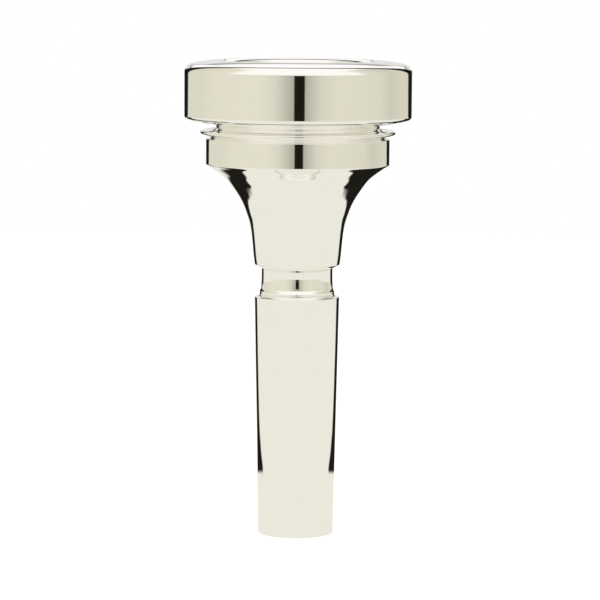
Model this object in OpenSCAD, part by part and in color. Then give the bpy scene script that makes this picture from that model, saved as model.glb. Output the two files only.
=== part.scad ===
// Modular cup mouthpiece for a large-shank tenor trombone.
// Three turned pieces screw together in two undercut grooves, with a seal washer in each joint.
// Millimetres. The shank's end is at Z 0, and the axis is +Z up to the rim.

/* [Overall] */
// Total height, from the shank's end to the rim's crest
total_h = 83; // [66:0.5:100]
// Outside diameter of the rim band
rim_d = 39.5; // [37.4:0.1:48]

/* [Rim] */
// Inside diameter of the cup at the biting edge
mouth_d = 25.4; // [22:0.1:29]
// Height of the plain rim band, below the rounded face
rim_band_h = 7.85; // [5:0.05:10]
// Height of the rounded rim face, from the band's top to the crest
rim_dome_h = 2.05; // [1.7:0.05:2.6]
// Radius of the rim's outer corner
rim_corner_r = 1.5; // [0.8:0.05:1.7]
// Radius of the rounding at the biting edge
bite_r = 1.35; // [0.6:0.05:1.6]
// Height of the rim's sloped underside, down to the joint
rim_under_h = 1.5; // [1.2:0.1:2.4]

/* [Cup] */
// Depth of the cup, from the rim's crest to the throat
cup_depth = 27; // [24.5:0.5:34]
// Diameter of the throat
throat_d = 7.2; // [6:0.05:8.8]
// Length of the throat, from the bowl to the lower socket
throat_l = 2.9; // [2:0.1:6]
// Height of the lower band
band_h = 4.45; // [3:0.05:5.5]
// Wall of the cup around the rim's socket, at the notch
socket_wall = 1.53; // [1.2:0.01:2.2]
// Wall of the cup around the rim's socket, at the joint
groove_wall = 0.88; // [0.6:0.01:1.2]
// Depth of the notch above the lower band
notch_depth = 1.55; // [1:0.05:2.2]
// Height from the lower band to the joint, with the thin ring between
ring_h = 2.2; // [1.8:0.1:3]
// How far the thin ring stands out past the lower band
ring_out = 0.95; // [0.4:0.05:1.6]
// Thickness of the thin ring at its rounded edge
ring_t = 0.56; // [0.4:0.02:0.7]
// How far the bowl's bottom corner stands out past the neck
foot_out = 1.23; // [0.6:0.01:2]
// Height of the chamfer under the bowl
foot_h = 0.6; // [0.4:0.1:1.6]

/* [Shank] */
// Outside diameter at the shank's end
shank_end_d = 13.1; // [12.4:0.05:14]
// Length of the shank in which its diameter grows by one millimetre
shank_taper = 24.5; // [18:0.5:30]
// Height of the neck, from the shoulder to the bowl
neck_h = 5.1; // [4:0.1:7]
// Bore diameter at the shank's end
bore_end_d = 10.6; // [9:0.1:11]

/* [Screw joints] */
// Rise of both screw threads in one turn
pitch = 1; // [0.8:0.05:1.2]
// Clearance across each thread, on the radius
thread_gap = 0.1; // [0.06:0.01:0.15]
// Length of the rim's spigot
rim_spigot_l = 5.4; // [4.4:0.1:6.5]
// Wall of the rim's spigot, under its thread
rim_spigot_wall = 0.95; // [0.8:0.01:1.3]
// Length of the shank's spigot
shank_spigot_l = 5.6; // [4.6:0.1:6.8]
// Wall of the shank's spigot, under its thread
shank_spigot_wall = 1.4; // [1:0.05:1.8]
// Wall of the neck's step, outside the lower thread
neck_wall = 0.6; // [0.5:0.05:1]
// Thickness of each seal washer
seal_t = 0.6; // [0.4:0.05:1]
// Clearance round each seal washer, on the radius
seal_gap = 0.15; // [0.1:0.05:0.3]

/* [Hidden] */
$fn = 96;
silver = [0.86, 0.86, 0.84];
rubber = [0.12, 0.12, 0.12];

// Heights, from the top down
side_top_z = total_h - rim_dome_h;
side_bot_z = side_top_z - rim_band_h;
part_z = side_bot_z - rim_under_h;        // joint between rim and cup, in the upper groove
band_top_z = part_z - ring_h;
band_bot_z = band_top_z - band_h;
throat_z = total_h - cup_depth;
rim_end_z = part_z - rim_spigot_l;
rim_floor_z = rim_end_z - seal_t;
shank_roof_z = throat_z - throat_l;
shank_end_z = shank_roof_z - seal_t;
foot_z = shank_end_z - shank_spigot_l;    // joint between cup and shank, in the lower groove
corner_z = foot_z + foot_h;
shoulder_z = foot_z - neck_h;

// Inside of the cup: radius at each height, from the throat up to the biting edge
throat_r = throat_d / 2;
mouth_r = mouth_d / 2;
bowl_top_z = total_h - 3;
function bowl_in(z) = throat_r + (mouth_r - 0.3 - throat_r)
  * pow(max(0, 1 - pow(1 - min(1, (z - throat_z) / (bowl_top_z - throat_z)), 1.9)), 0.85);
function steps(a, b, n) = [for (i = [0 : n]) a + (b - a) * i / n];
function cup_wall(a, b, n) = [for (z = steps(a, b, n)) [bowl_in(z), z]];

// Radii, from the bore outwards
ridge_h = pitch * 0.5;
rim_core_r = bowl_in(part_z) + rim_spigot_wall;
rim_wall_r = rim_core_r + ridge_h + thread_gap;
notch_r = rim_wall_r + socket_wall;
band_r = notch_r + notch_depth;
groove_r = rim_wall_r + groove_wall;
ring_r = band_r + ring_out;
shank_core_r = throat_r + shank_spigot_wall;
shank_wall_r = shank_core_r + ridge_h + thread_gap;
neck_r = shank_wall_r + neck_wall;
bowl_r = neck_r + foot_out;
end_r = shank_end_d / 2;
shoulder_r = end_r + shoulder_z / shank_taper / 2;
bore_r = bore_end_d / 2;
rim_r = rim_d / 2;
crest_r = mouth_r + bite_r;

// Outside of the bowl, from its bottom corner up: [share of the height, share of the spread]
bowl_shape = [[0, 0], [0.088, 0.026], [0.194, 0.046], [0.294, 0.067],
  [0.347, 0.081], [0.4, 0.1], [0.453, 0.128], [0.5, 0.163], [0.559, 0.207],
  [0.618, 0.258], [0.676, 0.323], [0.735, 0.403], [0.794, 0.489],
  [0.835, 0.552], [0.871, 0.616], [0.906, 0.694], [0.935, 0.776],
  [0.965, 0.864], [0.988, 0.933], [1, 0.971]];
bowl_out = [for (p = bowl_shape) [
  bowl_r + (band_r - 0.5 - bowl_r) * p[1],
  corner_z + (band_bot_z - 0.45 - corner_z) * p[0]]];

// Screw threads: a trapezoid ridge on each spigot, and one between its turns in each socket
base_w = pitch * 0.68;
tip_w = pitch * 0.2;
root = 0.2;
lead_in = 0.75;
rim_thread_z = rim_end_z + 0.9;
rim_turns = (rim_spigot_l - 0.9 - lead_in) / pitch;
shank_thread_z = foot_z + 0.65;
shank_turns = (shank_spigot_l - 0.9 - lead_in) / pitch;

function section(r1, w1, r2, w2, a, z) = [
  [r1 * cos(a), r1 * sin(a), z - w1 / 2],
  [r2 * cos(a), r2 * sin(a), z - w2 / 2],
  [r2 * cos(a), r2 * sin(a), z + w2 / 2],
  [r1 * cos(a), r1 * sin(a), z + w1 / 2]];

// Helical ridge, of width w1 at radius r1 and w2 at radius r2
module ridge(r1, w1, r2, w2, z0, turns) {
  n = 32;
  last = floor(turns * n);
  points = [for (i = [0 : last]) for (p = section(r1, w1, r2, w2,
    i * 360 / n, z0 + pitch * i / n)) p];
  sides = [for (i = [0 : last - 1]) for (k = [0 : 3])
    [4 * i + k, 4 * i + (k + 1) % 4, 4 * i + (k + 1) % 4 + 4, 4 * i + k + 4]];
  polyhedron(points, concat([[3, 2, 1, 0]], sides,
    [[4 * last, 4 * last + 1, 4 * last + 2, 4 * last + 3]]));
}

module male_ridge(core_r, z0, turns) {
  ridge(core_r - root, base_w, core_r + ridge_h, tip_w, z0, turns);
}

module female_ridge(wall_r, z0, turns) {
  ridge(wall_r - ridge_h, tip_w, wall_r + root, base_w, z0, turns);
}

// Rim: band, rounded face, upper cup wall and threaded spigot
module rim() {
  corner = [for (a = [0 : 9.875 : 79]) [
    rim_r - rim_corner_r * (1 - cos(a)),
    side_top_z + rim_corner_r * sin(a)]];
  face_r = rim_r - rim_corner_r * (1 - cos(79));
  face_drop = rim_dome_h - rim_corner_r * sin(79);
  face = [for (u = [0.8 : -0.2 : -0.01]) [
    crest_r + (face_r - crest_r) * u,
    total_h - face_drop * pow(max(0, u), 1.7)]];
  bite = [for (a = [15 : 15 : 75]) [
    crest_r - bite_r * sin(a),
    total_h - bite_r * (1 - cos(a))]];
  wall = cup_wall(total_h - 1.6, rim_end_z, 10);
  spigot = [
    [rim_core_r - 0.4, rim_end_z], [rim_core_r, rim_end_z + 0.4], [rim_core_r, part_z]];
  underside = [
    [groove_r, part_z], [rim_r - 1.25, side_bot_z - rim_under_h * 0.34],
    [rim_r - 0.25, side_bot_z - rim_under_h * 0.21],
    [rim_r - 0.07, side_bot_z - rim_under_h * 0.13], [rim_r, side_bot_z]];
  color(silver) union() {
    rotate_extrude() polygon(concat(spigot, underside, corner, face, bite, wall));
    male_ridge(rim_core_r, rim_thread_z, rim_turns);
  }
}

// Seal washer between the rim's spigot and the cup's socket
module rim_seal() {
  color(rubber) difference() {
    translate([0, 0, rim_floor_z]) cylinder(h = seal_t, r = rim_core_r - seal_gap);
    translate([0, 0, rim_floor_z - 1])
      cylinder(h = seal_t + 2, r = bowl_in(rim_end_z) + seal_gap);
  }
}

// Cup: thin ring, lower band, bowl, throat and a threaded socket at each end
module cup() {
  ring_z = band_top_z + ring_h * 0.51;
  ring_edge = [for (a = [-75 : 30 : 75]) [
    ring_r - ring_t / 2 * (1 - cos(a)), ring_z + ring_t / 2 * sin(a)]];
  outside = concat(
    [[neck_r + foot_out * 0.06, foot_z]],
    bowl_out,
    [[band_r - 0.12, band_bot_z - 0.1], [band_r, band_bot_z + 0.1]],
    [[band_r, band_top_z - 0.12], [band_r - 0.12, band_top_z]],
    [[notch_r, band_top_z + 0.04], [notch_r + 0.35, band_top_z + 0.12]],
    ring_edge,
    [[groove_r + (ring_r - groove_r) * 0.36, ring_z + ring_h * 0.23], [groove_r, part_z]]);
  inside = concat(
    [[rim_wall_r + 0.15, part_z], [rim_wall_r, part_z - 0.15]],
    [[rim_wall_r, rim_floor_z], [bowl_in(rim_floor_z), rim_floor_z]],
    cup_wall(rim_floor_z - 0.7, throat_z, 12),
    [[throat_r, shank_roof_z], [shank_wall_r, shank_roof_z]],
    [[shank_wall_r, foot_z + 0.15], [shank_wall_r + 0.15, foot_z]]);
  color(silver) union() {
    rotate_extrude() polygon(concat(outside, inside));
    female_ridge(rim_wall_r, rim_thread_z - pitch / 2, rim_turns + 0.4);
    female_ridge(shank_wall_r, shank_thread_z + pitch / 2, shank_turns);
  }
}

// Seal washer between the shank's spigot and the cup's socket
module shank_seal() {
  color(rubber) difference() {
    translate([0, 0, shank_end_z]) cylinder(h = seal_t, r = shank_core_r - seal_gap);
    translate([0, 0, shank_end_z - 1]) cylinder(h = seal_t + 2, r = throat_r + seal_gap);
  }
}

// Shank: taper, shoulder, undercut neck, backbore and threaded spigot
module shank() {
  flare = shoulder_r - neck_r;
  outside = [
    [end_r - 0.15, 0], [end_r, 0.15], [shoulder_r, shoulder_z - 0.08],
    [shoulder_r - 0.1, shoulder_z + 0.05], [neck_r + flare * 0.55, shoulder_z + neck_h * 0.062],
    [neck_r + flare * 0.35, shoulder_z + neck_h * 0.1],
    [neck_r + flare * 0.27, shoulder_z + neck_h * 0.13],
    [neck_r + flare * 0.24, shoulder_z + neck_h * 0.18],
    [neck_r + flare * 0.2, shoulder_z + neck_h * 0.22],
    [neck_r + flare * 0.06, shoulder_z + neck_h * 0.29],
    [neck_r + flare * 0.02, shoulder_z + neck_h * 0.42],
    [neck_r, shoulder_z + neck_h * 0.65], [neck_r, foot_z],
    [shank_core_r, foot_z], [shank_core_r, shank_end_z - 0.4],
    [shank_core_r - 0.4, shank_end_z]];
  widen = bore_r - throat_r;
  inside = [
    [throat_r, shank_end_z], [throat_r, foot_z],
    [throat_r + widen * 0.28, foot_z * 0.72], [throat_r + widen * 0.6, foot_z * 0.4],
    [throat_r + widen * 0.9, foot_z * 0.12], [bore_r, 0]];
  color(silver) union() {
    rotate_extrude() polygon(concat(outside, inside));
    male_ridge(shank_core_r, shank_thread_z, shank_turns);
  }
}

rim();
rim_seal();
cup();
shank_seal();
shank();
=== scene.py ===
import math

import bmesh
import bpy
from mathutils import Euler, Matrix, Vector


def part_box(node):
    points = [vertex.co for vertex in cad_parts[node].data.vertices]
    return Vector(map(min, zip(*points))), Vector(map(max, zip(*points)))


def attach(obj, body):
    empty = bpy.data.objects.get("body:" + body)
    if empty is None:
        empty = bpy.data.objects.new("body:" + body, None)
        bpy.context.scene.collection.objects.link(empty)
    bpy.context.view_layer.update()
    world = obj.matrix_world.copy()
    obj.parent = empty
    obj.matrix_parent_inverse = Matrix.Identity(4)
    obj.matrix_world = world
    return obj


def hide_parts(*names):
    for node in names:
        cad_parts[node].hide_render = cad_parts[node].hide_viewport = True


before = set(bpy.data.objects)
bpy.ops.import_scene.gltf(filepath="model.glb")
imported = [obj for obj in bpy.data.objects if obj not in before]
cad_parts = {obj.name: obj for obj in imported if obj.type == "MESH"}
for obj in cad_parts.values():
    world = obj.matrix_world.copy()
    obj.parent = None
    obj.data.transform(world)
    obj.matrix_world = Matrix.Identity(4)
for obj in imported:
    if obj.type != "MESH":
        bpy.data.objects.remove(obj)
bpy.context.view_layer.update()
print("frame loaded")

mm = 0.001
perRadian = 180 / math.pi  # degrees


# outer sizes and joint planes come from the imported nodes, in millimetres
def cornersOf(node):
    return [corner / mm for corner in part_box(node)]


rimLow, rimHigh = cornersOf("rim")
cupLow, cupHigh = cornersOf("cup")
shankHigh = cornersOf("shank")[1]
rimSealLow, rimSealHigh = cornersOf("rim_seal")
shankSealLow, shankSealHigh = cornersOf("shank_seal")
crestZ = rimHigh.z
jointZ = cupHigh.z  # rim meets cup
footZ = cupLow.z  # cup meets shank


# object and node helpers
def addObject(name, data):
    made = bpy.data.objects.new(name, data)
    bpy.context.scene.collection.objects.link(made)
    return made


def addNode(tree, kind, inputs=None, **settings):
    # an input's value is a socket to link, or a plain value
    made = tree.nodes.new(kind)
    for key, value in settings.items():
        setattr(made, key, value)
    for key, value in (inputs or {}).items():
        if isinstance(value, bpy.types.NodeSocket):
            tree.links.new(value, made.inputs[key])
        else:
            made.inputs[key].default_value = value
    return made


def maths(tree, operation, a, b=0.0, c=0.0, clamp=False):
    return addNode(tree, "ShaderNodeMath", {0: a, 1: b, 2: c}, operation=operation, use_clamp=clamp).outputs[0]


def mapped(tree, value, low, high, toLow=0.0, toHigh=1.0, smooth=False):
    inputs = {"Value": value, "From Min": low, "From Max": high, "To Min": toLow, "To Max": toHigh}
    kind = "SMOOTHSTEP" if smooth else "LINEAR"
    return addNode(tree, "ShaderNodeMapRange", inputs, interpolation_type=kind).outputs[0]


def mixed(tree, factor, a, b):
    return addNode(tree, "ShaderNodeMix", {"Factor": factor, "A": a, "B": b}, data_type="RGBA").outputs["Result"]


def fromAxis(tree, place):
    squares = [maths(tree, "MULTIPLY", place[side], place[side]) for side in ("X", "Y")]
    return maths(tree, "SQRT", maths(tree, "ADD", *squares))


def splitSpot(tree, spot):
    return addNode(tree, "ShaderNodeSeparateXYZ", {0: spot}).outputs


# one tree turns a half-section about the axis, or winds it into a screw ridge
def makeTurnedForm():
    tree = bpy.data.node_groups.new("turnedForm", "GeometryNodeTree")
    tree.is_modifier = True
    face = tree.interface
    face.new_socket(name="Geometry", in_out="OUTPUT", socket_type="NodeSocketGeometry")
    face.new_socket(name="Geometry", in_out="INPUT", socket_type="NodeSocketGeometry")
    for name, kind in (("Section Points", "Int"), ("Segments", "Int"), ("Turns", "Float"),
                       ("Rise Per Turn", "Float"), ("Start Height", "Float"), ("Core Radius", "Float"),
                       ("Run-out Turns", "Float"), ("Finish", "Material")):
        face.new_socket(name=name, in_out="INPUT", socket_type="NodeSocket" + kind)
    given = tree.nodes.new("NodeGroupInput").outputs

    # a unit grid: X goes round the form, Y along the section
    grid = addNode(tree, "GeometryNodeMeshGrid", {
        "Size X": 1.0, "Size Y": 1.0,
        "Vertices X": maths(tree, "ADD", given["Segments"], 1.0), "Vertices Y": given["Section Points"]})
    place = splitSpot(tree, tree.nodes.new("GeometryNodeInputPosition").outputs[0])
    along = maths(tree, "ADD", place["X"], 0.5)
    across = maths(tree, "ADD", place["Y"], 0.5)

    # the section's point for this row: X is radius, Y is satin, Z is height
    last = maths(tree, "SUBTRACT", given["Section Points"], 1.0)
    pick = maths(tree, "ROUND", maths(tree, "MULTIPLY", across, last))
    point = addNode(tree, "GeometryNodeSampleIndex", data_type="FLOAT_VECTOR", domain="POINT")
    tree.links.new(given["Geometry"], point.inputs["Geometry"])
    tree.links.new(tree.nodes.new("GeometryNodeInputPosition").outputs[0], point.inputs["Value"])
    tree.links.new(pick, point.inputs["Index"])
    sample = splitSpot(tree, point.outputs[0])

    # a screw ridge rises as it winds, and swells and fades over its run-out
    turned = maths(tree, "MULTIPLY", along, given["Turns"])
    angle = maths(tree, "MULTIPLY", turned, 2 * math.pi)
    fromEnd = maths(tree, "MINIMUM", turned, maths(tree, "SUBTRACT", given["Turns"], turned))
    fade = maths(tree, "DIVIDE", fromEnd, given["Run-out Turns"], clamp=True)
    winds = addNode(tree, "FunctionNodeCompare", {"A": given["Run-out Turns"], "B": 0.0},
                    data_type="FLOAT", operation="GREATER_THAN").outputs[0]
    swell = addNode(tree, "GeometryNodeSwitch", {"Switch": winds, "False": 1.0, "True": fade},
                    input_type="FLOAT").outputs[0]
    radius = maths(tree, "ADD", given["Core Radius"], maths(tree, "MULTIPLY", sample["X"], swell))
    rise = maths(tree, "ADD", given["Start Height"], maths(tree, "MULTIPLY", turned, given["Rise Per Turn"]))
    spot = addNode(tree, "ShaderNodeCombineXYZ", {
        "X": maths(tree, "MULTIPLY", radius, maths(tree, "COSINE", angle)),
        "Y": maths(tree, "MULTIPLY", radius, maths(tree, "SINE", angle)),
        "Z": maths(tree, "ADD", rise, maths(tree, "MULTIPLY", sample["Z"], swell))})

    keepSatin = addNode(tree, "GeometryNodeStoreNamedAttribute", {
        "Geometry": grid.outputs["Mesh"], "Name": "satin", "Value": sample["Y"]},
        data_type="FLOAT", domain="POINT")
    formed = addNode(tree, "GeometryNodeSetPosition", {"Geometry": keepSatin.outputs[0], "Position": spot.outputs[0]})
    merged = addNode(tree, "GeometryNodeMergeByDistance", {"Geometry": formed.outputs[0], "Distance": 2e-7})
    real = addNode(tree, "GeometryNodeRealizeInstances", {"Geometry": merged.outputs[0]})
    painted = addNode(tree, "GeometryNodeSetMaterial", {"Geometry": real.outputs[0], "Material": given["Finish"]})
    tree.links.new(painted.outputs[0], tree.nodes.new("NodeGroupOutput").inputs[0])
    return tree


turnedForm = makeTurnedForm()


def turn(section, finish, **sizes):
    # section: (radius, height, satin) in millimetres; gives a closed mesh in metres
    mesh = bpy.data.meshes.new("section")
    links = [(i, i + 1) for i in range(len(section) - 1)]
    mesh.from_pydata([(r * mm, satinShare, z * mm) for r, z, satinShare in section], links, [])
    holder = addObject("section", mesh)
    modifier = holder.modifiers.new("turned", "NODES")
    modifier.node_group = turnedForm
    values = {"Section Points": len(section), "Segments": 192, "Turns": 1.0, "Rise Per Turn": 0.0,
              "Start Height": 0.0, "Core Radius": 0.0, "Run-out Turns": 0.0, "Finish": finish}
    values.update(sizes)
    for item in turnedForm.interface.items_tree:
        if item.in_out == "INPUT" and item.name in values:
            modifier[item.identifier] = values[item.name]
    bpy.context.view_layer.update()
    graph = bpy.context.evaluated_depsgraph_get()
    made = bpy.data.meshes.new_from_object(
        holder.evaluated_get(graph), preserve_all_data_layers=True, depsgraph=graph)
    bpy.data.objects.remove(holder)
    bm = bmesh.new()
    bm.from_mesh(made)
    if bm.calc_volume(signed=True) < 0:
        bmesh.ops.reverse_faces(bm, faces=bm.faces)
    bm.to_mesh(made)
    bm.free()
    return made


def oneObject(name, meshes, sharpAngle=40):
    bm = bmesh.new()
    for mesh in meshes:
        bm.from_mesh(mesh)
    whole = bpy.data.meshes.new(name)
    bm.to_mesh(whole)
    bm.free()
    for material in meshes[0].materials:
        whole.materials.append(material)
    whole.shade_smooth()
    whole.set_sharp_from_angle(angle=math.radians(sharpAngle))
    piece = addObject(name, whole)
    print(name, "has", len(whole.polygons), "faces")
    return piece


# half-sections: corners with a rounding radius, and smooth runs between them
sectionDetail = {
    "arcStep": 9,  # degrees
    "leastBend": 0.02,  # radians; a flatter corner isn't rounded
    "edgeShare": 0.48,  # most of an edge that one rounding takes
}
mirror, satin = 0.0, 1.0  # finish of a corner, between polished and satin
crisp, tight = 0.05, 0.04  # roundings of small machined edges, millimetres


def rounded(corners, step=0.3):
    # corners: (radius, height, rounding, finish), a closed loop; step is the longest edge, millimetres
    count = len(corners)
    line = []
    for i in range(count):
        r, z, rounding, finish = corners[i]
        here = Vector((r, z))
        before = Vector(corners[i - 1][:2]) - here
        after = Vector(corners[(i + 1) % count][:2]) - here
        if rounding <= 0 or before.length < 1e-6 or after.length < 1e-6:
            line.append((r, z, finish))
            continue
        opening = before.angle(after)
        bend = math.pi - opening
        if bend < sectionDetail["leastBend"]:
            line.append((r, z, finish))
            continue
        most = sectionDetail["edgeShare"]
        cut = min(rounding / math.tan(opening / 2), before.length * most, after.length * most)
        radius = cut * math.tan(opening / 2)
        bisector = (before.normalized() + after.normalized()).normalized()
        middle = here + bisector * (radius / math.sin(opening / 2))
        start = here + before.normalized() * cut - middle
        end = here + after.normalized() * cut - middle
        pieces = max(3, math.ceil(bend / math.radians(sectionDetail["arcStep"])))
        swing = start.angle_signed(end)
        for k in range(pieces + 1):
            p = middle + Matrix.Rotation(-swing * k / pieces, 2) @ start
            line.append((p.x, p.y, finish))
    dense = []
    for i, a in enumerate(line):
        b = line[(i + 1) % len(line)]
        parts = max(1, math.ceil(math.hypot(b[0] - a[0], b[1] - a[1]) / step))
        for k in range(parts):
            t = k / parts
            dense.append((a[0] + (b[0] - a[0]) * t, a[1] + (b[1] - a[1]) * t, a[2]))
    dense.append(dense[0])
    return dense


def smoothRun(points, each=6):
    # Catmull-Rom curve through (radius, height) points
    run = []
    for i in range(len(points) - 1):
        p0 = Vector(points[max(i - 1, 0)])
        p1, p2 = Vector(points[i]), Vector(points[i + 1])
        p3 = Vector(points[min(i + 2, len(points) - 1)])
        for k in range(each):
            t = k / each
            p = 0.5 * ((2 * p1) + (p2 - p0) * t
                       + (2 * p0 - 5 * p1 + 4 * p2 - p3) * t * t
                       + (3 * p1 - p0 - 3 * p2 + p3) * t ** 3)
            run.append((p.x, p.y))
    run.append(tuple(points[-1]))
    return run


def eased(run, rounds):
    # evens out small changes of slope, keeping both ends
    for k in range(rounds):
        between = [((a[0] + 2 * b[0] + c[0]) / 4, (a[1] + 2 * b[1] + c[1]) / 4)
                   for a, b, c in zip(run, run[1:], run[2:])]
        run = [run[0]] + between + [run[-1]]
    return run


def plain(run):
    return [(r, z, 0.0, mirror) for r, z in run]


# finishes
silverPlate = {
    "colour": (0.985, 0.98, 0.965, 1),
    "tarnish": (0.87, 0.81, 0.69, 1),
    # most tarnish, as a share, in the soft clouds, in the grooves and on satin
    "cloudTarnish": 0.12,
    "grooveTarnish": 0.06,
    "satinTarnish": 0.12,
    "roughness": 0.03,
    "patchRoughness": 0.02,
    "scratchRoughness": 0.10,
    "tarnishRoughness": 0.08,
    "satinRoughness": 0.24,
    # heights of the slow ripple, the turning lines and the scratches, metres
    "ripple": 1.6e-6,
    "turning": 3e-8,
    "scratch": -1.2e-7,
    # how many of each stand in a metre
    "rippleScale": 160.0,
    "patchScale": 420.0,
    "cloudScale": 240.0,
    "turningLines": 5200.0,
    "scratchLines": 900.0,
    "scratchWidth": 0.018,  # as a share of the space between scratches
}


def makeSilver(name, grooves, seed):
    # grooves: (height, spread) in millimetres of each place where tarnish gathers
    s = silverPlate
    material = bpy.data.materials.new(name)
    material.use_nodes = True
    tree = material.node_tree
    shader = tree.nodes["Principled BSDF"]
    spot = addNode(tree, "ShaderNodeTexCoord").outputs["Object"]
    axes = splitSpot(tree, spot)
    radius = fromAxis(tree, axes)
    around = maths(tree, "ARCTAN2", axes["Y"], axes["X"])
    satinShare = addNode(tree, "ShaderNodeAttribute", attribute_name="satin").outputs["Fac"]

    # slow ripple left by the polishing wheel
    ripple = addNode(tree, "ShaderNodeTexNoise", {
        "Vector": spot, "Scale": s["rippleScale"], "Detail": 2.0, "Roughness": 0.5}, noise_dimensions="4D")
    ripple.inputs["W"].default_value = seed
    # fine lines round the axis left by the lathe
    lathe = addNode(tree, "ShaderNodeCombineXYZ", {
        "X": maths(tree, "MULTIPLY", radius, s["turningLines"]),
        "Y": maths(tree, "MULTIPLY", axes["Z"], s["turningLines"]),
        "Z": maths(tree, "MULTIPLY", around, 0.35)})
    lines = addNode(tree, "ShaderNodeTexNoise", {
        "Vector": lathe.outputs[0], "Scale": 1.0, "Detail": 3.0, "Roughness": 0.65})
    # hairline scratches in a few patches, mostly round the piece
    wipe = addNode(tree, "ShaderNodeCombineXYZ", {
        "X": maths(tree, "MULTIPLY", around, 9.0),
        "Y": maths(tree, "MULTIPLY", axes["Z"], s["scratchLines"]),
        "Z": maths(tree, "MULTIPLY", radius, 500.0)})
    hair = addNode(tree, "ShaderNodeTexVoronoi", {
        "Vector": wipe.outputs[0], "Scale": 1.0, "Randomness": 1.0}, feature="DISTANCE_TO_EDGE")
    scratch = mapped(tree, hair.outputs["Distance"], 0.0, s["scratchWidth"], 1.0, 0.0)
    patches = addNode(tree, "ShaderNodeTexNoise", {
        "Vector": spot, "Scale": s["patchScale"], "Detail": 3.0}).outputs["Fac"]
    hairline = maths(tree, "MULTIPLY", scratch, mapped(tree, patches, 0.54, 0.66))

    # tarnish: a little everywhere in soft clouds, more in the grooves and on the satin threads
    cloud = addNode(tree, "ShaderNodeTexNoise", {
        "Vector": spot, "Scale": s["cloudScale"], "Detail": 5.0, "Roughness": 0.6, "Distortion": 0.4})
    gathered = mapped(tree, cloud.outputs["Fac"], 0.45, 0.8, 0.0, s["cloudTarnish"])
    for height, spread in grooves:
        away = maths(tree, "ABSOLUTE", maths(tree, "SUBTRACT", axes["Z"], height * mm))
        near = maths(tree, "SUBTRACT", 1.0, maths(tree, "DIVIDE", away, spread * mm), clamp=True)
        share = maths(tree, "MULTIPLY", maths(tree, "MULTIPLY", near, near), s["grooveTarnish"])
        gathered = maths(tree, "ADD", gathered, share)
    gathered = maths(tree, "ADD", gathered, maths(tree, "MULTIPLY", satinShare, s["satinTarnish"]), clamp=True)
    tree.links.new(mixed(tree, gathered, s["colour"], s["tarnish"]), shader.inputs["Base Color"])

    rough = maths(tree, "MULTIPLY_ADD", patches, s["patchRoughness"], s["roughness"])
    rough = maths(tree, "MULTIPLY_ADD", hairline, s["scratchRoughness"], rough)
    rough = maths(tree, "MULTIPLY_ADD", gathered, s["tarnishRoughness"], rough)
    rough = maths(tree, "MULTIPLY_ADD", satinShare, s["satinRoughness"], rough)
    tree.links.new(rough, shader.inputs["Roughness"])
    relief = maths(tree, "MULTIPLY", ripple.outputs["Fac"], s["ripple"])
    relief = maths(tree, "MULTIPLY_ADD", lines.outputs["Fac"], s["turning"], relief)
    relief = maths(tree, "MULTIPLY_ADD", hairline, s["scratch"], relief)
    bump = addNode(tree, "ShaderNodeBump", {"Height": relief, "Distance": 1.0, "Strength": 1.0})
    tree.links.new(bump.outputs["Normal"], shader.inputs["Normal"])
    shader.inputs["Metallic"].default_value = 1.0
    return material


blackRubber = {
    "dark": (0.016, 0.016, 0.017, 1),
    "pale": (0.034, 0.033, 0.032, 1),
    "mottleScale": 500.0,
    "grainScale": 2600.0,
    "grainDepth": 2e-6,
}


def makeSealRubber():
    s = blackRubber
    material = bpy.data.materials.new("sealRubber")
    material.use_nodes = True
    tree = material.node_tree
    shader = tree.nodes["Principled BSDF"]
    spot = addNode(tree, "ShaderNodeTexCoord").outputs["Object"]
    grain = addNode(tree, "ShaderNodeTexNoise", {"Vector": spot, "Scale": s["grainScale"], "Detail": 4.0})
    mottle = addNode(tree, "ShaderNodeTexNoise", {"Vector": spot, "Scale": s["mottleScale"], "Detail": 3.0})
    shade = addNode(tree, "ShaderNodeValToRGB", {"Fac": mottle.outputs["Fac"]})
    for stop, position, colour in zip(shade.color_ramp.elements, (0.35, 0.7), (s["dark"], s["pale"])):
        stop.position = position
        stop.color = colour
    tree.links.new(shade.outputs["Color"], shader.inputs["Base Color"])
    rough = mapped(tree, grain.outputs["Fac"], 0.0, 1.0, 0.5, 0.75)
    tree.links.new(rough, shader.inputs["Roughness"])
    bump = addNode(tree, "ShaderNodeBump", {
        "Height": grain.outputs["Fac"], "Distance": s["grainDepth"], "Strength": 1.0})
    tree.links.new(bump.outputs["Normal"], shader.inputs["Normal"])
    return material


rimSilver = makeSilver("rimSilver", [(jointZ, 1.2)], 1.3)
cupSilver = makeSilver("cupSilver", [(jointZ, 0.8), (jointZ - 2.0, 0.5), (footZ, 0.7)], 4.1)
shankSilver = makeSilver("shankSilver", [(footZ, 1.6)], 7.7)
sealRubber = makeSealRubber()
print("finishes made")


# the cup's inside, shared by rim and cup so that the joint runs through
cupInside = {
    "throatRadius": 3.6,
    "wallRadius": 12.4,
    "throatZ": crestZ - 27.0,
    "wallZ": crestZ - 3.0,
    "wallBend": 1.9,  # higher is rounder under the wall
    "floorBend": 0.85,  # lower is fuller at the throat
}


def insideRadius(z):
    s = cupInside
    share = min(1.0, max(0.0, (z - s["throatZ"]) / (s["wallZ"] - s["throatZ"])))
    widening = (1 - (1 - share) ** s["wallBend"]) ** s["floorBend"]
    return s["throatRadius"] + (s["wallRadius"] - s["throatRadius"]) * widening


def insideRun(fromZ, toZ, parts):
    heights = [fromZ + (toZ - fromZ) * i / parts for i in range(parts + 1)]
    return [(insideRadius(z), z) for z in heights]


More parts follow.
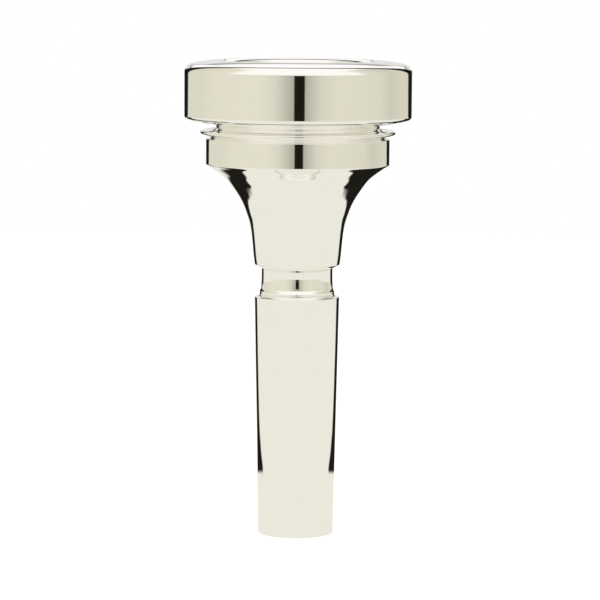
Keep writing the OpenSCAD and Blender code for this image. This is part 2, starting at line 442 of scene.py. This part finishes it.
screwThread = {
    "rise": 1.0,
    "depth": 0.5,  # how far the crest stands out past its core, plus the skirt
    "baseWidth": 0.68,
    "tipWidth": 0.2,
    "sunk": 0.2,  # how far the ridge reaches into its core, less the skirt
    "skirt": 0.1,  # straight part at the ridge's foot, inside the core
    "tipRounding": 0.04,
    "segments": 72,  # in each turn
    "runOut": 0.16,  # turns over which it fades at each end
}


def screwRidge(coreRadius, startZ, turns, inward, finish):
    t = screwThread
    base, tip, sunk, skirt = t["baseWidth"] / 2, t["tipWidth"] / 2, t["sunk"], t["skirt"]
    top = t["depth"] + sunk
    atCore = tip + (base - tip) / top * t["depth"]  # half width where the ridge leaves its core
    lower = [(0.0, -base), (skirt, -base), (skirt + sunk, -atCore),
             (top - t["tipRounding"], -tip - 0.02), (top, -tip + 0.03)]
    section = lower + [(r, -z) for r, z in reversed(lower)] + lower[:1]
    sign = -1 if inward else 1
    return turn([(sign * r, z, satin) for r, z in section], finish, **{
        "Segments": int(turns * t["segments"]), "Turns": turns, "Rise Per Turn": t["rise"] * mm,
        "Start Height": startZ * mm, "Core Radius": (coreRadius - sign * (skirt + sunk)) * mm,
        "Run-out Turns": t["runOut"]})


# rim
rimSizes = {
    "bandRadius": rimHigh.x,
    "bandBottomZ": jointZ + 1.5,
    "bandTopZ": crestZ - 2.05,
    "cornerRadius": 1.5,
    "cornerSweep": 79,  # degrees
    "crestRadius": 14.05,
    "faceBend": 1.7,  # higher is flatter at the crest
    "biteRadius": 1.35,
    "biteSweep": 72,  # degrees
    "biteFoot": ((12.6, 1.5), (12.46, 2.2)),  # radius, and depth below the crest
    "grooveRadius": 14.2,
    "edgeRounding": 0.6,
    "spigotRadius": 12.27,
    "spigotChamfer": 0.4,
    "spigotRelief": 0.25,
    "threadStart": 0.9,
    "threadTurns": 3.75,
}


def makeRim():
    s = rimSizes
    endZ = rimLow.z
    spigotR, grooveR, crestR = s["spigotRadius"], s["grooveRadius"], s["crestRadius"]
    chamfer, relief = s["spigotChamfer"], s["spigotRelief"]
    corner = [(s["bandRadius"] - s["cornerRadius"] * (1 - math.cos(a)),
               s["bandTopZ"] + s["cornerRadius"] * math.sin(a))
              for a in [math.radians(s["cornerSweep"]) * k / 12 for k in range(13)]]
    faceR, faceZ = corner[-1]
    face = [(crestR + (faceR - crestR) * u, crestZ - (crestZ - faceZ) * u ** s["faceBend"])
            for u in [1 - k / 28 for k in range(1, 29)]]
    bite = [(crestR - s["biteRadius"] * math.sin(a), crestZ - s["biteRadius"] * (1 - math.cos(a)))
            for a in [math.radians(s["biteSweep"]) * k / 12 for k in range(1, 13)]]
    biteFoot = [(radius, crestZ - below) for radius, below in s["biteFoot"]]
    inner = smoothRun(bite[-2:] + biteFoot + insideRun(crestZ - 3.2, endZ + 0.1, 26), 4)
    spigot = [(insideRadius(endZ) + 0.15, endZ, 0.08, satin), (spigotR - chamfer, endZ, crisp, satin),
              (spigotR, endZ + chamfer, crisp, satin), (spigotR, jointZ - 0.42, crisp, satin),
              (spigotR - relief, jointZ - 0.3, crisp, satin), (spigotR - relief, jointZ, tight, 0.6)]
    underside = [(grooveR, jointZ, 0.03, mirror), (grooveR, jointZ + 0.2, 0.3, mirror),
                 (s["bandRadius"] - 1.25, s["bandBottomZ"] - 0.5, 0.6, mirror),
                 (s["bandRadius"], s["bandBottomZ"] - 0.17, s["edgeRounding"], mirror)]
    body = turn(rounded(spigot + underside + plain(corner + face + bite) + plain(inner[2:])), rimSilver)
    thread = screwRidge(spigotR, endZ + s["threadStart"], s["threadTurns"], False, rimSilver)
    piece = oneObject("turnedRim", [body, thread])
    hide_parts("rim")
    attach(piece, "rim")
    return piece


# cup
cupSizes = {
    "ringRadius": cupHigh.x,
    "ringZ": jointZ - 1.078,
    "ringHalf": 0.26,  # half the ring's thickness
    "ringRounding": 0.24,
    "grooveRadius": 14.2,
    "notchRadius": 15.2,
    "bandRadius": 15.95,
    "bandTopZ": jointZ - 2.2,
    "bandBottomZ": jointZ - 6.65,
    "footRadius": 7.43,
    "footFaceRadius": 6.27,
    "footHeight": 0.6,
    # radius at heights above the foot
    "bowlCurve": ((7.43, 0), (7.64, 1.5), (7.8, 3.3), (7.97, 5.0), (8.08, 5.9), (8.23, 6.8), (8.46, 7.7),
                  (8.74, 8.5), (9.09, 9.5), (9.5, 10.5), (10.02, 11.5), (10.66, 12.5), (11.35, 13.5),
                  (11.86, 14.2), (12.37, 14.8), (13.0, 15.4), (13.66, 15.9), (14.36, 16.4), (14.92, 16.8),
                  (15.22, 17.0)),
    "upperSocketRadius": 12.87,
    "upperThreadTurns": 4.15,
    "lowerSocketRadius": 5.6,
    "lowerThreadTurns": 3.95,
    "socketChamfer": 0.15,
}


def makeCup():
    s = cupSizes
    footTopZ = footZ + s["footHeight"]
    bandR, notchR, grooveR = s["bandRadius"], s["notchRadius"], s["grooveRadius"]
    upperR, lowerR, chamfer = s["upperSocketRadius"], s["lowerSocketRadius"], s["socketChamfer"]
    foot = [(s["footFaceRadius"], footZ, tight, mirror), (s["footRadius"], footTopZ, 0.1, mirror)]
    bowl = eased(smoothRun([(radius, footTopZ + above) for radius, above in s["bowlCurve"]], 8), 14)
    band = [(bandR, s["bandBottomZ"] - 0.02, 0.16, mirror), (bandR, s["bandTopZ"], 0.09, mirror),
            (notchR, s["bandTopZ"] + 0.1, 0.25, mirror), (notchR + 0.1, s["bandTopZ"] + 0.4, 0.3, mirror)]
    ring = [(s["ringRadius"], s["ringZ"] - s["ringHalf"], s["ringRounding"], mirror),
            (s["ringRadius"], s["ringZ"] + s["ringHalf"], s["ringRounding"], mirror),
            (grooveR + 0.75, s["ringZ"] + 0.5, 0.6, mirror), (grooveR, jointZ - 0.25, 0.3, mirror),
            (grooveR, jointZ, 0.03, mirror)]
    sealZ = rimSealLow.z
    upper = [(upperR + chamfer, jointZ, tight, 0.5), (upperR, jointZ - chamfer, tight, satin),
             (upperR, sealZ, 0.1, satin), (insideRadius(sealZ), sealZ, 0.06, 0.4)]
    inside = insideRun(sealZ - 0.3, cupInside["throatZ"] + 0.02, 40)
    throatR = cupInside["throatRadius"]
    throat = [(throatR, cupInside["throatZ"] - 0.4, 0, mirror)]
    roofZ = shankSealHigh.z
    lower = [(throatR, roofZ, crisp, satin), (lowerR, roofZ, 0.1, satin), (lowerR, footZ + chamfer, tight, satin),
             (lowerR + chamfer, footZ, tight, 0.5)]
    section = foot + plain(bowl[1:]) + band + ring + upper + plain(inside) + throat + lower
    body = turn(rounded(section, 0.35), cupSilver)
    upperThread = screwRidge(upperR, rimLow.z + 0.4, s["upperThreadTurns"], True, cupSilver)
    lowerThread = screwRidge(lowerR, footZ + 1.15, s["lowerThreadTurns"], True, cupSilver)
    piece = oneObject("turnedCup", [body, upperThread, lowerThread])
    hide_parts("cup")
    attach(piece, "cup")
    return piece


# shank
shankSizes = {
    "endRadius": 6.55,
    "endRounding": 0.14,
    "shoulderRadius": 7.4,
    "shoulderZ": footZ - 5.1,
    "shoulderRounding": 0.09,
    # inwards and upwards from the shoulder: a soft step half way up the flare, then a slow sweep into the neck
    "neckCurve": ((-0.12, 0.03), (-0.6, 0.07), (-0.76, 0.12), (-0.83, 0.25), (-0.86, 0.5), (-0.873, 0.66),
                  (-0.885, 1.0), (-1.02, 1.25), (-1.09, 1.42), (-1.125, 1.75), (-1.155, 2.2), (-1.183, 2.8),
                  (-1.2, 3.6)),
    "neckRadius": 6.2,
    "spigotRadius": 5.0,
    "spigotChamfer": 0.4,
    "spigotRelief": 0.25,
    "threadStart": 0.65,
    "threadTurns": 3.95,
    "boreRadius": 3.6,
    "boreEndRadius": 5.3,
    # height and widening, as shares, from the top of the backbore down
    "boreCurve": ((1, 0), (0.86, 0.1), (0.72, 0.28), (0.56, 0.45), (0.4, 0.6), (0.24, 0.76), (0.12, 0.9),
                  (0.015, 0.995)),
}


def makeShank():
    s = shankSizes
    topZ = shankHigh.z
    spigotR, chamfer, relief = s["spigotRadius"], s["spigotChamfer"], s["spigotRelief"]
    neck = smoothRun([(s["shoulderRadius"] + v, s["shoulderZ"] + u) for v, u in s["neckCurve"]], 6)
    widen = s["boreEndRadius"] - s["boreRadius"]
    bore = smoothRun([(s["boreRadius"] + widen * v, footZ * u) for u, v in s["boreCurve"]], 6)
    outside = [(s["endRadius"], 0, s["endRounding"], mirror),
               (s["shoulderRadius"], s["shoulderZ"], s["shoulderRounding"], mirror)]
    spigot = [(s["neckRadius"], footZ, 0.06, mirror), (spigotR - relief, footZ, crisp, 0.6),
              (spigotR - relief, footZ + 0.25, crisp, satin), (spigotR, footZ + 0.37, crisp, satin),
              (spigotR, topZ - chamfer, crisp, satin), (spigotR - chamfer, topZ, crisp, satin),
              (s["boreRadius"], topZ, 0.08, 0.5)]
    boreEnd = [(s["boreEndRadius"] + 0.02, 0, 0.12, mirror)]
    body = turn(rounded(outside + plain(neck) + spigot + plain(bore) + boreEnd, 0.45), shankSilver)
    thread = screwRidge(spigotR, footZ + s["threadStart"], s["threadTurns"], False, shankSilver)
    piece = oneObject("turnedShank", [body, thread])
    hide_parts("shank")
    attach(piece, "shank")
    return piece


# seal washers
sealSizes = {
    "edge": 0.12,
    "hollow": 0.04,  # how far each rim of the washer is pressed in at mid height
    "clearance": 0.15,  # round the bore
    "step": 0.15,
}


def makeSeal(name, node, low, high, boreRadius):
    outer = high.x
    inner = boreRadius + sealSizes["clearance"]
    edge, hollow = sealSizes["edge"], sealSizes["hollow"]
    middle = (low.z + high.z) / 2
    section = [(inner, low.z, edge, mirror), (outer, low.z, edge, mirror), (outer - hollow, middle, 0.1, mirror),
               (outer, high.z, edge, mirror), (inner, high.z, edge, mirror), (inner + hollow, middle, 0.1, mirror)]
    piece = oneObject(name, [turn(rounded(section, sealSizes["step"]), sealRubber)])
    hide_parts(node)
    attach(piece, node)
    return piece


makeRim()
makeCup()
makeShank()
makeSeal("rimSealWasher", "rim_seal", rimSealLow, rimSealHigh, insideRadius(rimLow.z))
makeSeal("shankSealWasher", "shank_seal", shankSealLow, shankSealHigh, shankSizes["boreRadius"])
print("pieces made")


# studio: white floor, and a light tent whose panels, gaps and top light show in the silver
studio = {
    "sidePanel": (0.772, 0.749, 0.624),
    # degrees round from the lens, and the panel's brightness there
    "panelShares": [(-117, 0.92), (-85, 0.99), (-40, 1.0), (-23, 0.9), (-13, 0.72), (-5, 0.56),
                    (7, 0.56), (13, 0.7), (23, 0.88), (42, 0.97), (90, 0.92), (108, 0.8), (128, 0.87)],
    "topLight": (1.01, 0.98, 0.94, 1),
    "lensSlot": (0.012, 0.01, 0.007, 1),
    "tentGap": (0.012, 0.011, 0.008, 1),
    "backdrop": (1.0, 1.0, 0.99, 1),
    "backdropLow": (0.78, 0.77, 0.76, 1),
    "seam": (0.35, 0.34, 0.32, 1),
    # each soft edge, in degrees: up from level, or round from the lens or from the backdrop's middle
    "topLightBase": (3.0, 9.0),
    "topLightSides": (60.0, 80.0),
    "overhead": (50.0, 62.0),
    "lensTurn": 1.4,
    "slotSides": (4.7, 6.0),
    "slotTop": (1.0, 3.0),
    "backdropTilt": 28,
    "backdropEdge": (28.0, 30.0),
    "gapEdge": (42.0, 44.0),
    "seamBottom": (11.0, 15.0),
    "seamTop": (15.0, 19.0),
}


def addStops(ramp, stops):
    # stops: (position, colour)
    while len(ramp.elements) < len(stops):
        ramp.elements.new(0.5)
    for stop, (position, colour) in zip(ramp.elements, stops):
        stop.position = position
        stop.color = colour


def makeWorld():
    s = studio
    world = bpy.data.worlds.new("lightTent")
    bpy.context.scene.world = world
    world.use_nodes = True
    tree = world.node_tree
    tree.nodes.clear()
    way = splitSpot(tree, addNode(tree, "ShaderNodeTexCoord").outputs["Generated"])
    x, y, z = way["X"], way["Y"], way["Z"]
    front = maths(tree, "MULTIPLY", y, -1.0)
    turned = maths(tree, "MULTIPLY", maths(tree, "ARCTAN2", x, front), perRadian)  # right is positive
    lift = maths(tree, "MULTIPLY", maths(tree, "ARCSINE", z), perRadian)

    def past(value, edge):
        return mapped(tree, value, *edge, smooth=True)

    def within(value, edge):
        return maths(tree, "SUBTRACT", 1.0, past(value, edge))

    # side panels, darker towards the lens and a little darker on the right
    panels = addNode(tree, "ShaderNodeValToRGB", {"Fac": maths(tree, "MULTIPLY_ADD", turned, 1 / 360, 0.5)})
    addStops(panels.color_ramp, [(angle / 360 + 0.5, (*[share * channel for channel in s["sidePanel"]], 1))
                                 for angle, share in s["panelShares"]])
    # top light in front, fading to the panels at the sides
    inFront = within(maths(tree, "ABSOLUTE", turned), s["topLightSides"])
    ceiling = maths(tree, "MULTIPLY", past(lift, s["topLightBase"]), inFront)
    ceiling = maths(tree, "MAXIMUM", ceiling, past(lift, s["overhead"]))
    light = mixed(tree, ceiling, panels.outputs["Color"], s["topLight"])
    # slot for the lens
    fromLens = maths(tree, "ABSOLUTE", maths(tree, "SUBTRACT", turned, s["lensTurn"]))
    slot = maths(tree, "MULTIPLY", within(fromLens, s["slotSides"]), within(lift, s["slotTop"]))
    light = mixed(tree, slot, light, s["lensSlot"])
    # the backdrop is a bright disc behind, with a dark gap round it; it is greyer low down, under a faint seam
    tilt = math.radians(s["backdropTilt"])
    towards = [maths(tree, "MULTIPLY", y, math.cos(tilt)), maths(tree, "MULTIPLY", z, math.sin(tilt))]
    apart = maths(tree, "MULTIPLY", maths(tree, "ARCCOSINE", maths(tree, "ADD", *towards)), perRadian)
    light = mixed(tree, within(apart, s["gapEdge"]), light, s["tentGap"])
    sheet = mixed(tree, past(lift, s["seamBottom"]), s["backdropLow"], s["seam"])
    sheet = mixed(tree, past(lift, s["seamTop"]), sheet, s["backdrop"])
    light = mixed(tree, within(apart, s["backdropEdge"]), light, sheet)
    # the camera itself sees plain white
    light = mixed(tree, addNode(tree, "ShaderNodeLightPath").outputs["Is Camera Ray"], light, (1, 1, 1, 1))
    shown = addNode(tree, "ShaderNodeBackground", {"Color": light, "Strength": 1.0})
    tree.links.new(shown.outputs[0], addNode(tree, "ShaderNodeOutputWorld").inputs[0])


paleFloor = {
    "radius": 0.6,
    "colour": (0.9, 0.9, 0.9, 1),
    "glow": 0.42,
    # painted reflection: the floor's colour as it shows in the silver, not as the camera sees it
    "paintedReflectionColour": (0.843, 0.825, 0.746, 1),
    # where the pale sheet ends in the painted reflection, past which a painted dark reflection shows: reach in mm,
    # and degrees round from the front
    "sheetEdge": ((66, 111), (82, 121), (107, 130), (135, 134), (170, 136), (250, 138)),
    "sheetSoftness": 2.0,
    "paintedDarkFrom": (0.0585, 0.0635),  # reach in metres at which the painted dark reflection starts
    # on the left the pale sheet shows again in the painted reflection: reach in metres, degrees there, and softness
    "againReach": (0.11, 0.21),
    "againTurn": (158.0, 163.0),
    "againSoftness": 3.0,
}


def makeFloor():
    s = paleFloor
    mesh = bpy.data.meshes.new("paleFloor")
    bm = bmesh.new()
    bmesh.ops.create_circle(bm, cap_ends=True, radius=s["radius"], segments=96)
    bm.to_mesh(mesh)
    bm.free()
    floor = addObject("paleFloor", mesh)
    material = bpy.data.materials.new("paleFloor")
    material.use_nodes = True
    tree = material.node_tree
    tree.nodes.clear()
    white = addNode(tree, "ShaderNodeBsdfDiffuse", {"Color": s["colour"]})
    glow = addNode(tree, "ShaderNodeEmission", {"Color": (1, 1, 1, 1), "Strength": s["glow"]})
    seen = addNode(tree, "ShaderNodeAddShader", {0: white.outputs[0], 1: glow.outputs[0]})
    spot = splitSpot(tree, addNode(tree, "ShaderNodeTexCoord").outputs["Object"])
    away = fromAxis(tree, spot)
    front = maths(tree, "MULTIPLY", spot["Y"], -1.0)
    turned = maths(tree, "ABSOLUTE", maths(tree, "MULTIPLY", maths(tree, "ARCTAN2", spot["X"], front), perRadian))

    # painted reflection: off the sheet, to both sides of the backdrop, the floor shows dark, but only in reflections
    # in the silver; the camera sees it white
    farthest = s["sheetEdge"][-1][0]
    border = addNode(tree, "ShaderNodeValToRGB", {"Fac": maths(tree, "DIVIDE", away, farthest * mm)})
    addStops(border.color_ramp, [(reach / farthest, (angle / 180, angle / 180, angle / 180, 1))
                                 for reach, angle in s["sheetEdge"]])
    offSheet = maths(tree, "SUBTRACT", turned, maths(tree, "MULTIPLY", border.outputs["Color"], 180.0))
    inner = mapped(tree, offSheet, -s["sheetSoftness"], s["sheetSoftness"], smooth=True)
    # on the left the sheet shows again past the painted dark reflection
    edge = mapped(tree, away, *s["againReach"], *s["againTurn"])
    pastEdge = maths(tree, "SUBTRACT", turned, edge)
    again = mapped(tree, pastEdge, -s["againSoftness"], s["againSoftness"], smooth=True)
    onLeft = maths(tree, "LESS_THAN", spot["X"], 0.0)
    outer = maths(tree, "SUBTRACT", 1.0, maths(tree, "MULTIPLY", again, onLeft))
    beyond = mapped(tree, away, *s["paintedDarkFrom"], smooth=True)
    path = addNode(tree, "ShaderNodeLightPath").outputs
    direct = maths(tree, "LESS_THAN", path["Ray Depth"], 1.5)  # only in a first reflection
    dark = maths(tree, "MULTIPLY", maths(tree, "MULTIPLY", inner, outer), maths(tree, "MULTIPLY", beyond, direct))
    # painted reflection: glossy rays see the floor glow in this painted beige with painted dark patches instead of
    # its own white
    reflected = mixed(tree, dark, s["paintedReflectionColour"], studio["tentGap"])
    paintedReflectionGlow = addNode(tree, "ShaderNodeEmission", {"Color": reflected, "Strength": 1.0})
    both = addNode(tree, "ShaderNodeMixShader", {
        0: path["Is Glossy Ray"], 1: seen.outputs[0], 2: paintedReflectionGlow.outputs[0]})
    tree.links.new(both.outputs[0], addNode(tree, "ShaderNodeOutputMaterial").inputs[0])
    mesh.materials.append(material)


makeWorld()
makeFloor()
print("studio made")


# camera
cameraSizes = {
    "side": 0.00056,
    "away": 0.5,
    "height": 0.0975,
    "down": 6.43,  # degrees
    "roll": 0.38,
    "lens": 172.4,
    "sensorWidth": 36,
    "nearest": 0.01,
}


def makeCamera():
    s = cameraSizes
    data = bpy.data.cameras.new("camera")
    data.lens = s["lens"]
    data.sensor_width = s["sensorWidth"]
    data.clip_start = s["nearest"]
    camera = addObject("camera", data)
    tilt = Euler((math.radians(90 - s["down"]), 0, 0)).to_matrix()
    camera.location = (s["side"], -s["away"], s["height"])
    camera.rotation_euler = (tilt @ Matrix.Rotation(math.radians(s["roll"]), 3, "Z")).to_euler()
    bpy.context.scene.camera = camera


makeCamera()
bpy.context.scene.view_settings.view_transform = "Standard"
print("camera placed")
